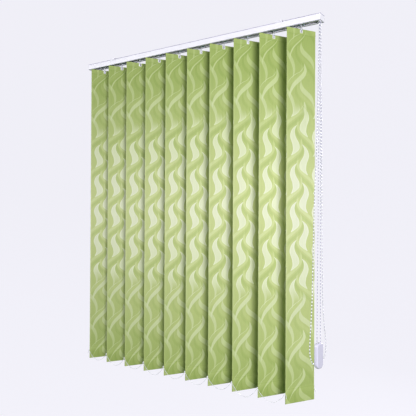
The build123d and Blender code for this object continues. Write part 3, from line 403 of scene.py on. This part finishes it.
FINISHES = {
    "vane_cloth": jacquard(),
    "rail_paint": lined("stoved_white_enamel", "#F0EFF6", 0.35, 1.2),
    "white_moulding": lined("white_abs_moulding", "#F3F2F9", 0.38, 0.8),
    "clear_moulding": moulded("milky_polycarbonate", "#EEF0F4", 0.22, 1.5, see_through=0.85),
    "carrier_moulding": moulded("grey_acetal_moulding", "#7C97A0", 0.45, 0.8),
    "weight_coating": moulded("white_dipped_plate", "#F4F4F8", 0.30, 1.0),
    "bead_chain": nylon_beads(),
    "pod_gloss": moulded("lavender_abs_gloss", "#DAD8EA", 0.16, 1.5, strength=0.01, coat=0.5),
    "spring_steel": moulded("white_coated_spring_steel", "#E4E3EC", 0.35, 1.0),
    "rod_aluminium": rolled_metal("drawn_aluminium", "#C9CBD0", 0.28, 0.3),
    "steel_slug": rolled_metal("raw_steel_slug", "#55565A", 0.5, 0.8),
}


def braid():
    """Braided polyester cord with a grey tracer strand that shows once a turn."""
    material, tree, shader = new_material("braided_white_cord")
    where = add(tree, "ShaderNodeTexCoord").outputs["Object"]
    parts = add(tree, "ShaderNodeSeparateXYZ", {0: where})
    length = sums(tree, "ADD", parts.outputs["X"], parts.outputs["Z"])
    turn = sums(tree, "SINE", sums(tree, "MULTIPLY", length, 2 * math.pi / TRACER_PITCH))
    strands = add(
        tree, "ShaderNodeTexWave", {"Vector": where, "Scale": 420.0, "Distortion": 1.5}, bands_direction="Z"
    ).outputs["Fac"]
    plain = blend(tree, strands, linear("#D2D4DE"), linear("#F0F0F6"))
    colour = blend(tree, soft_step(tree, turn, -0.1, 0.5), plain, linear("#8E8DA8"))
    tree.links.new(colour, shader.inputs["Base Color"])
    bump = add(tree, "ShaderNodeBump", {"Height": strands, "Strength": 0.3, "Distance": 0.0002}).outputs[0]
    tree.links.new(bump, shader.inputs["Normal"])
    shader.inputs["Roughness"].default_value = 0.75
    return material


TRACER_PITCH = 0.0115
FINISHES["draw_cord"] = braid()
CHAIN_CORE = moulded("grey_nylon_core", "#8584A0", 0.5, 0.6)


def dress(piece, slot):
    """Gives a new piece the finish of the record's slot."""
    piece.data.materials.clear()
    piece.data.materials.append(FINISHES[slot])


def dress_frame():
    """Swaps the plain finish of every kept frame part for its own slot's finish."""
    slots = {row["node"]: row["material_slot"] for row in frame["record"]["subparts"]}
    for name, slot in slots.items():
        node = frame["nodes"][name]
        for holder in node.material_slots:
            holder.material = FINISHES[slot]
        node.visible_shadow = not name.startswith("cord_weight")


# Routes, as the frame's tubes have them, in millimetres from the hook of the last vane


def route_points(points):
    """Turns points in millimetres into metres."""
    return [Vector(point) * MM for point in points]


SPROCKET_X = 583.5
ROD_Y = 8.2
ROD_Z = -17.0
SPROCKET_R = 7.64
HOOK_10 = 513.5


def chain_route():
    """The tilt chain's loop, from the top of its sprocket down the front and back up behind."""
    top = ROD_Z + SPROCKET_R
    front = ROD_Y - SPROCKET_R
    back = ROD_Y + SPROCKET_R
    hang = [
        (67.9, -14.7, -498),
        (64.4, -28.4, -680),
        (61.4, -36.4, -1036),
        (59.4, -42.6, -1122),
        (57.6, -48.2, -1190),
        (57.4, -48.4, -1232),
        (60.6, -34.0, -1264),
        (66.0, -9.6, -1279),
        (71.6, 15.6, -1278),
        (77.0, 39.8, -1264),
        (80.2, 54.0, -1234),
        (79.4, 50.2, -1190),
        (77.0, 39.2, -1128),
        (75.2, 28.0, -1046),
        (74.6, 19.6, -680),
        (74.0, 16.6, -496),
    ]
    down = [(SPROCKET_X, ROD_Y - 0.3, top), (SPROCKET_X, front, top), (SPROCKET_X, front, -69.0)]
    up = [(SPROCKET_X, back, -69.0), (SPROCKET_X, back, top), (SPROCKET_X, ROD_Y + 0.3, top)]
    return route_points(down + [(HOOK_10 + x, y, z) for x, y, z in hang] + up)


CORD_Z = -8.5
CORD_FRONT_Y = -14.6
CORD_BACK_Y = -4.6
CORD_DROP_X = 591.5
RETURN_X = -590.5
FIRST_HOOK = -503.5
POD_PLACE = (HOOK_10 + 77.2, -13.2)
POD_TURN = math.radians(77.5)
WEIGHT_CORD_R = 11.0
POD_TOP = -1192.0
WHEEL_Z = POD_TOP - 24.0
NEAR_PULLEY = 13.0


def cord_route():
    """The draw cord's loop, with a point each side of every pulley."""
    dx = WEIGHT_CORD_R * math.cos(POD_TURN)
    dy = WEIGHT_CORD_R * math.sin(POD_TURN)
    front = (POD_PLACE[0] - dx, POD_PLACE[1] - dy)
    back = (POD_PLACE[0] + dx, POD_PLACE[1] + dy)
    low = WHEEL_Z - WEIGHT_CORD_R
    step = NEAR_PULLEY
    return route_points(
        [
            (FIRST_HOOK + 0.3, CORD_FRONT_Y, CORD_Z),
            (CORD_DROP_X - step, CORD_FRONT_Y, CORD_Z),
            (CORD_DROP_X, CORD_FRONT_Y, CORD_Z),
            (CORD_DROP_X, CORD_FRONT_Y, CORD_Z - step),
            (CORD_DROP_X, CORD_FRONT_Y, -59.0),
            (*front, POD_TOP + 6.0),
            (*front, low + step),
            (*front, low),
            (*back, low),
            (*back, low + step),
            (*back, POD_TOP + 6.0),
            (CORD_DROP_X, CORD_BACK_Y, -59.0),
            (CORD_DROP_X, CORD_BACK_Y, CORD_Z - step),
            (CORD_DROP_X, CORD_BACK_Y, CORD_Z),
            (CORD_DROP_X - step, CORD_BACK_Y, CORD_Z),
            (RETURN_X + step, CORD_BACK_Y, CORD_Z),
            (RETURN_X, CORD_BACK_Y, CORD_Z),
            (RETURN_X, CORD_FRONT_Y, CORD_Z),
            (RETURN_X + step, CORD_FRONT_Y, CORD_Z),
            (FIRST_HOOK - 0.3, CORD_FRONT_Y, CORD_Z),
        ]
    )


def nurbs(name, points, radius=0.0):
    """A smooth open curve with the route's points as its control points."""
    data = bpy.data.curves.new(name, "CURVE")
    data.dimensions = "3D"
    data.resolution_u = 12
    data.bevel_depth = radius
    data.bevel_resolution = 3
    data.use_fill_caps = True
    spline = data.splines.new("NURBS")
    spline.points.add(len(points) - 1)
    for knot, place in zip(spline.points, points):
        knot.co = (*place, 1.0)
    spline.order_u = 3
    spline.use_endpoint_u = True
    piece = bpy.data.objects.new(name, data)
    bpy.context.scene.collection.objects.link(piece)
    return piece


def smooth_line(points):
    """The points of the route's own smooth curve."""
    guide = nurbs("guide", points)
    mesh = bpy.data.meshes.new_from_object(guide)
    line = [vertex.co.copy() for vertex in mesh.vertices]
    bpy.data.meshes.remove(mesh)
    bpy.data.objects.remove(guide)
    return line


def line_length(line):
    return sum((b - a).length for a, b in zip(line, line[1:]))


def evenly(line, step):
    """Places every step along a line, with the direction there."""
    places = []
    wanted = step / 2
    done = 0.0
    for a, b in zip(line, line[1:]):
        run = (b - a).length
        while run and wanted <= done + run:
            places.append((a.lerp(b, (wanted - done) / run), (b - a).normalized()))
            wanted += step
        done += run
    return places


def only(piece):
    """Makes one object the selected and active one."""
    bpy.ops.object.select_all(action="DESELECT")
    piece.select_set(True)
    bpy.context.view_layer.objects.active = piece


def settle():
    """Applies the place, turn and size of what is selected to its mesh."""
    bpy.ops.object.transform_apply(location=True, rotation=True, scale=True)


def pick_edges(piece, test):
    """Goes into edit mode with just the edges selected whose two ends pass the test."""
    only(piece)
    mesh = piece.data
    for face in mesh.polygons:
        face.select = False
    for vertex in mesh.vertices:
        vertex.select = test(vertex.co)
    for edge in mesh.edges:
        edge.select = all(mesh.vertices[i].select for i in edge.vertices)
    bpy.ops.object.mode_set(mode="EDIT")
    bpy.ops.mesh.select_mode(type="EDGE")


def one_bead(diameter, height, segments, rings):
    """A moulded bead with its long axis along Z."""
    bpy.ops.object.select_all(action="DESELECT")
    bpy.ops.mesh.primitive_uv_sphere_add(segments=segments, ring_count=rings, radius=diameter / 2)
    bead = bpy.context.object
    bead.scale = (1, 1, height / diameter)
    settle()
    bpy.ops.object.shade_smooth()
    return bead


def thread_along(line, radius, name):
    """The thin thread inside a chain, as a mesh tube."""
    tube = nurbs(name, line, radius)
    tube.data.splines[0].order_u = 2
    tube.data.bevel_resolution = 0
    tube.data.resolution_u = 1
    only(tube)
    bpy.ops.object.convert(target="MESH")
    return bpy.context.object


def bead_chain(name, route, bead, pitch, thread_radius):
    """Beads on a thread along one route, joined into one piece, and the line they follow."""
    line = smooth_line(route)
    thread = thread_along(line, thread_radius, name)
    thread.data.materials.append(CHAIN_CORE)
    bead.data.materials.append(FINISHES["bead_chain"])
    copies = []
    for place, way in evenly(line, pitch):
        copy = bead.copy()
        copy.data = bead.data.copy()
        copy.matrix_world = Matrix.Translation(place) @ way.to_track_quat("Z", "Y").to_matrix().to_4x4()
        bpy.context.scene.collection.objects.link(copy)
        copies.append(copy)
    bpy.ops.object.select_all(action="DESELECT")
    for piece in copies + [thread]:
        piece.select_set(True)
    bpy.context.view_layer.objects.active = thread
    bpy.ops.object.join()
    settle()
    thread.name = name
    return thread, line


TILT_BEAD = 0.0050
TILT_BEAD_HEIGHT = 0.0065
TILT_BEAD_PITCH = 0.012


def tilt_chain():
    """Endless chain of long-pitch beads that turns the sprocket."""
    bead = one_bead(TILT_BEAD, TILT_BEAD_HEIGHT, 12, 8)
    chain, line = bead_chain("tilt_bead_chain", chain_route(), bead, TILT_BEAD_PITCH, 0.0009)
    bpy.data.objects.remove(bead)
    chain.visible_shadow = False
    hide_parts("tilt_chain")
    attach(chain, "root")


def draw_cord():
    """Endless cord through the rail and round the weight's wheel."""
    route = cord_route()
    cord = nurbs("draw_cord_loop", route, 0.0011)
    dress(cord, "draw_cord")
    cord.visible_shadow = False
    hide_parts("traverse_cord")
    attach(cord, "root")
    round(line_length(smooth_line(route)), 3)


# Sag of each span and its shape, as the frame has them
FRONT_SAGS = (37.0, 42.0, 38.0, 44.0, 40.0, 43.0, 38.0, 45.0, 41.0)
BACK_SAGS = (41.0, 37.0, 43.0, 39.0, 44.0, 38.0, 42.0, 40.0, 43.0)
SPAN_SHAPE = ((0.13, 0.47), (0.31, 0.87), (0.5, 1.0), (0.7, 0.86), (0.88, 0.45))
TAIL_SHAPE = ((3.2, -1.5), (6.4, -8.0), (5.6, -15.0))
LINK_DROP = 2.1  # from an eyelet's middle down to where the chain is tied
LINK_BEAD = 0.0024
LINK_BEAD_HEIGHT = 0.0032
LINK_PITCH = 0.0042
LINK_THREAD_R = 0.0005


def bottom_chain_route(ears, y, z, sags):
    """One chain through every eyelet of a side, touching each, with a short tail at both ends."""
    far = [Vector((ears[0] - dx * MM, y, z + dz * MM)) for dx, dz in TAIL_SHAPE]
    near = [Vector((ears[-1] + dx * MM, y, z + dz * MM)) for dx, dz in TAIL_SHAPE]
    route = far[::-1]
    for x, sag in zip(ears, sags):
        route += [Vector((x, y, z))] * 2
        route += [Vector((x + s * VANE_PITCH, y, z - d * sag * MM)) for s, d in SPAN_SHAPE]
    return route + [Vector((ears[-1], y, z))] * 2 + near


def bottom_chains():
    """The two small bead chains that join the vanes' feet, and the pins that tie them."""
    bead = one_bead(LINK_BEAD, LINK_BEAD_HEIGHT, 8, 6)
    for side, sags, name in ((-1, FRONT_SAGS, "front"), (1, BACK_SAGS, "back")):
        y = side * EAR_OUT * math.sin(VANE_ANGLE)
        ears = [hook_x(n + 1) + side * EAR_OUT * math.cos(VANE_ANGLE) for n in range(VANE_COUNT)]
        z = EAR_Z - LINK_DROP * MM
        node = "bottom_chain_" + name
        route = bottom_chain_route(ears, y, z, sags)
        chain, line = bead_chain("link_" + node, route, bead, LINK_PITCH, LINK_THREAD_R)
        pins = []
        for number, x in enumerate(ears):
            pin = link_pin(f"link_pin_{name}_{number + 1:02d}")
            pin.data.transform(Matrix.Translation((x, y, EAR_Z)))
            pins.append(pin)
        for piece in [chain] + pins:
            dress(piece, "bead_chain")
            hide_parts(node)
            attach(piece, node)
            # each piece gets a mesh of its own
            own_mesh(piece)
    bpy.data.objects.remove(bead)


def link_pin(name):
    """The little double-headed pin that ties a chain to an eyelet."""
    bpy.ops.object.select_all(action="DESELECT")
    bpy.ops.mesh.primitive_cylinder_add(vertices=16, radius=0.0008, depth=0.0058, location=(0, 0, -0.0004))
    pin = bpy.context.object
    bpy.ops.object.mode_set(mode="EDIT")
    for low, high in ((0.0008, 0.0025), (-0.0033, -0.0008)):
        bpy.ops.mesh.select_all(action="DESELECT")
        bpy.ops.mesh.primitive_uv_sphere_add(
            segments=12, ring_count=8, radius=0.0014, location=(0, 0, (low + high) / 2)
        )
    bpy.ops.object.mode_set(mode="OBJECT")
    settle()
    bpy.ops.object.shade_smooth()
    pin.name = name
    return pin


# Vanes

FOLD_GAP_TOP = HANGER_SHEET / 2 + 0.00030
FOLD_GAP_LOW = WEIGHT_SHEET / 2 + 0.00030
CLOTH_SHEET = 0.0003


def cloth_vane():
    """One strip of cloth along X: a long sheet, folded over at both ends and welded to itself."""
    bpy.ops.object.select_all(action="DESELECT")
    middle = (VANE_TOP + VANE_BOTTOM) / 2
    bpy.ops.mesh.primitive_grid_add(
        x_subdivisions=8, y_subdivisions=46, size=1, location=(0, 0, middle), rotation=(math.pi / 2, 0, 0)
    )
    vane = bpy.context.object
    vane.scale = (VANE_WIDTH, VANE_DROP, 1)
    settle()
    bpy.ops.object.mode_set(mode="EDIT")
    levels = (
        VANE_TOP - TOP_HEM,
        VANE_TOP - TOP_HEM + 0.002,
        VANE_BOTTOM + BOTTOM_HEM,
        VANE_BOTTOM + BOTTOM_HEM - 0.002,
    )
    for level in levels:
        bpy.ops.mesh.select_all(action="SELECT")
        bpy.ops.mesh.bisect(plane_co=(0, 0, level), plane_no=(0, 0, 1))
    bpy.ops.object.mode_set(mode="OBJECT")
    # the sheet stands off to one side of each hem's plate
    for vertex in vane.data.vertices:
        if vertex.co.z > VANE_TOP - TOP_HEM + 0.0005:
            vertex.co.y = -FOLD_GAP_TOP
        if vertex.co.z < VANE_BOTTOM + BOTTOM_HEM - 0.0005:
            vertex.co.y = -FOLD_GAP_LOW
    fold_over(vane, VANE_TOP, 1, FOLD_GAP_TOP, TOP_HEM)
    fold_over(vane, VANE_BOTTOM, -1, FOLD_GAP_LOW, BOTTOM_HEM)
    notch_hem(vane)
    wall = vane.modifiers.new("cloth", "SOLIDIFY")
    wall.thickness = CLOTH_SHEET
    wall.offset = 0
    only(vane)
    bpy.ops.object.modifier_apply(modifier="cloth")
    bpy.ops.object.shade_smooth_by_angle(angle=math.radians(35))
    spread_cloth(vane)
    return vane


def spread_cloth(vane):
    """Lays the cloth's own map over it in metres: across from its room-side edge, and down."""
    layer = vane.data.uv_layers.active or vane.data.uv_layers.new(name="cloth_metres")
    layer.name = "cloth_metres"
    for corner in vane.data.loops:
        place = vane.data.vertices[corner.vertex_index].co
        layer.data[corner.index].uv = (place.x + VANE_WIDTH / 2, VANE_TOP - place.z)


def fold_over(vane, level, way, gap, depth):
    """Extrudes one end of the sheet round its plate and back along the other side."""
    pick_edges(vane, lambda place: abs(place.z - level) < 0.0001)
    rise = gap * 0.6 * way
    moves = (
        (0, 0.4 * gap, rise * 0.8),
        (0, 1.2 * gap, 0),
        (0, 0.4 * gap, -rise * 0.8),
        (0, 0, -way * (depth - 0.002)),
        (0, 0.0002 - gap, -way * 0.002),
    )
    for move in moves:
        bpy.ops.mesh.extrude_region_move(TRANSFORM_OT_translate={"value": move})
    bpy.ops.object.mode_set(mode="OBJECT")


def notch_hem(vane):
    """Cuts the notch in the top hem that the hook reaches through."""
    bpy.ops.object.select_all(action="DESELECT")
    bpy.ops.mesh.primitive_cube_add(size=1, location=(0, 0, VANE_TOP - 0.0053), scale=(0.012, 0.01, 0.0186))
    cutter = bpy.context.object
    settle()
    rounding = cutter.modifiers.new("round", "BEVEL")
    rounding.width = 0.002
    rounding.segments = 3
    bpy.ops.object.modifier_apply(modifier="round")
    cut = vane.modifiers.new("notch", "BOOLEAN")
    cut.operation = "DIFFERENCE"
    cut.solver = "EXACT"
    cut.object = cutter
    only(vane)
    bpy.ops.object.modifier_apply(modifier="notch")
    bpy.data.objects.remove(cutter)


def all_vanes():
    """Copies the cloth to every hook, turned as the vanes stand."""
    pattern = cloth_vane()
    for number in range(1, VANE_COUNT + 1):
        vane = pattern.copy()
        vane.data = pattern.data.copy()
        vane.name = f"cloth_vane_{number:02d}"
        bpy.context.scene.collection.objects.link(vane)
        turn = Matrix.Translation((hook_x(number), 0, 0)) @ Matrix.Rotation(VANE_ANGLE, 4, "Z")
        vane.data.transform(turn)
        dress(vane, "vane_cloth")
        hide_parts(f"vane_{number:02d}")
        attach(vane, f"vane_{number:02d}")
    bpy.data.objects.remove(pattern)


# Room


def sweep_paper():
    """Matt pale paper that is lit from behind as well, so that it stays one even tone."""
    material, tree, shader = new_material("pale_sweep_paper")
    grain = add(tree, "ShaderNodeTexCoord").outputs["Object"]
    grain = add(tree, "ShaderNodeTexNoise", {"Vector": grain, "Scale": 30.0}).outputs["Fac"]
    tone = blend(tree, grain, linear("#EFEEF6"), linear("#F1F0F8"))
    tree.links.new(tone, shader.inputs["Emission Color"])
    shader.inputs["Base Color"].default_value = linear("#3A3A3D")
    shader.inputs["Roughness"].default_value = 0.9
    shader.inputs["Specular IOR Level"].default_value = 0.1
    shader.inputs["Emission Strength"].default_value = 0.985
    return material


FLOOR_LEVEL = -2.3
SWEEP_WIDTH = 40.0
SWEEP_DEPTH = 6.0
SWEEP_HEIGHT = 12.0


def room():
    """A pale floor well below the blind that curves up into a backdrop behind it."""
    bpy.ops.object.select_all(action="DESELECT")
    bpy.ops.mesh.primitive_plane_add(size=1, location=(0, 0, FLOOR_LEVEL))
    sweep = bpy.context.object
    sweep.name = "studio_sweep"
    sweep.scale = (SWEEP_WIDTH, 2 * SWEEP_DEPTH, 1)
    settle()
    pick_edges(sweep, lambda place: place.y > 0)
    bpy.ops.mesh.extrude_region_move(TRANSFORM_OT_translate={"value": (0, 0, SWEEP_HEIGHT)})
    bpy.ops.object.mode_set(mode="OBJECT")
    corner = sweep.modifiers.new("corner", "BEVEL")
    corner.width = 2.0
    corner.segments = 16
    only(sweep)
    bpy.ops.object.modifier_apply(modifier="corner")
    bpy.ops.object.shade_smooth()
    sweep.data.materials.append(sweep_paper())
    sweep.visible_diffuse = False
    sweep.visible_glossy = False


KEY_PLACE = Vector((2.64, -2.73, -0.50))
KEY_SIZE = 1.2
KEY_WATTS = 134.0
SIDE_PLACE = Vector((-1.76, -1.87, 0.10))
SIDE_SIZE = 0.5
SIDE_WATTS = 20.0
BACK_PLACE = Vector((1.20, 3.00, -0.30))
BACK_SIZE = 1.2
BACK_WATTS = 90.0
FILL_BELOW = 0.12
FILL_ABOVE = 0.50


def soft_lamp(name, place, towards, size, watts, tint):
    """A round area lamp aimed at one place."""
    data = bpy.data.lights.new(name, "AREA")
    data.shape = "DISK"
    data.size = size
    data.energy = watts
    data.color = tint
    lamp = bpy.data.objects.new(name, data)
    bpy.context.scene.collection.objects.link(lamp)
    lamp.location = place
    lamp.rotation_euler = (towards - place).to_track_quat("-Z", "Y").to_euler()


def lights():
    """A large soft lamp beyond the right of the camera, one along the vanes, one behind them, and a fill that is dim from below."""
    bpy.context.scene.view_settings.view_transform = "Standard"
    soft_lamp("key", KEY_PLACE, Vector((hook_x(7), 0, KEY_PLACE.z)), KEY_SIZE, KEY_WATTS, (1.0, 0.965, 1.02))
    soft_lamp("side", SIDE_PLACE, Vector((-RAIL_HALF_LENGTH, 0, 0)), SIDE_SIZE, SIDE_WATTS, (1.0, 0.98, 1.02))
    soft_lamp("back", BACK_PLACE, Vector((0, 0, KEY_PLACE.z)), BACK_SIZE, BACK_WATTS, (1.0, 0.98, 1.02))
    world = bpy.data.worlds.new("soft_room")
    bpy.context.scene.world = world
    world.use_nodes = True
    tree = world.node_tree
    way = add(tree, "ShaderNodeTexCoord").outputs["Generated"]
    rise = add(tree, "ShaderNodeSeparateXYZ", {0: way}).outputs["Z"]
    share = add(tree, "ShaderNodeMapRange", {"Value": rise, "From Min": -0.6, "From Max": 0.5}).outputs[0]
    fill = sums(tree, "MULTIPLY_ADD", share, FILL_ABOVE - FILL_BELOW, FILL_BELOW)
    background = tree.nodes["Background"]
    tree.links.new(blend(tree, share, linear("#78BF84"), linear("#F0EFF7")), background.inputs["Color"])
    tree.links.new(fill, background.inputs["Strength"])


tilt_chain()
draw_cord()
bottom_chains()
all_vanes()
dress_frame()
room()
lights()
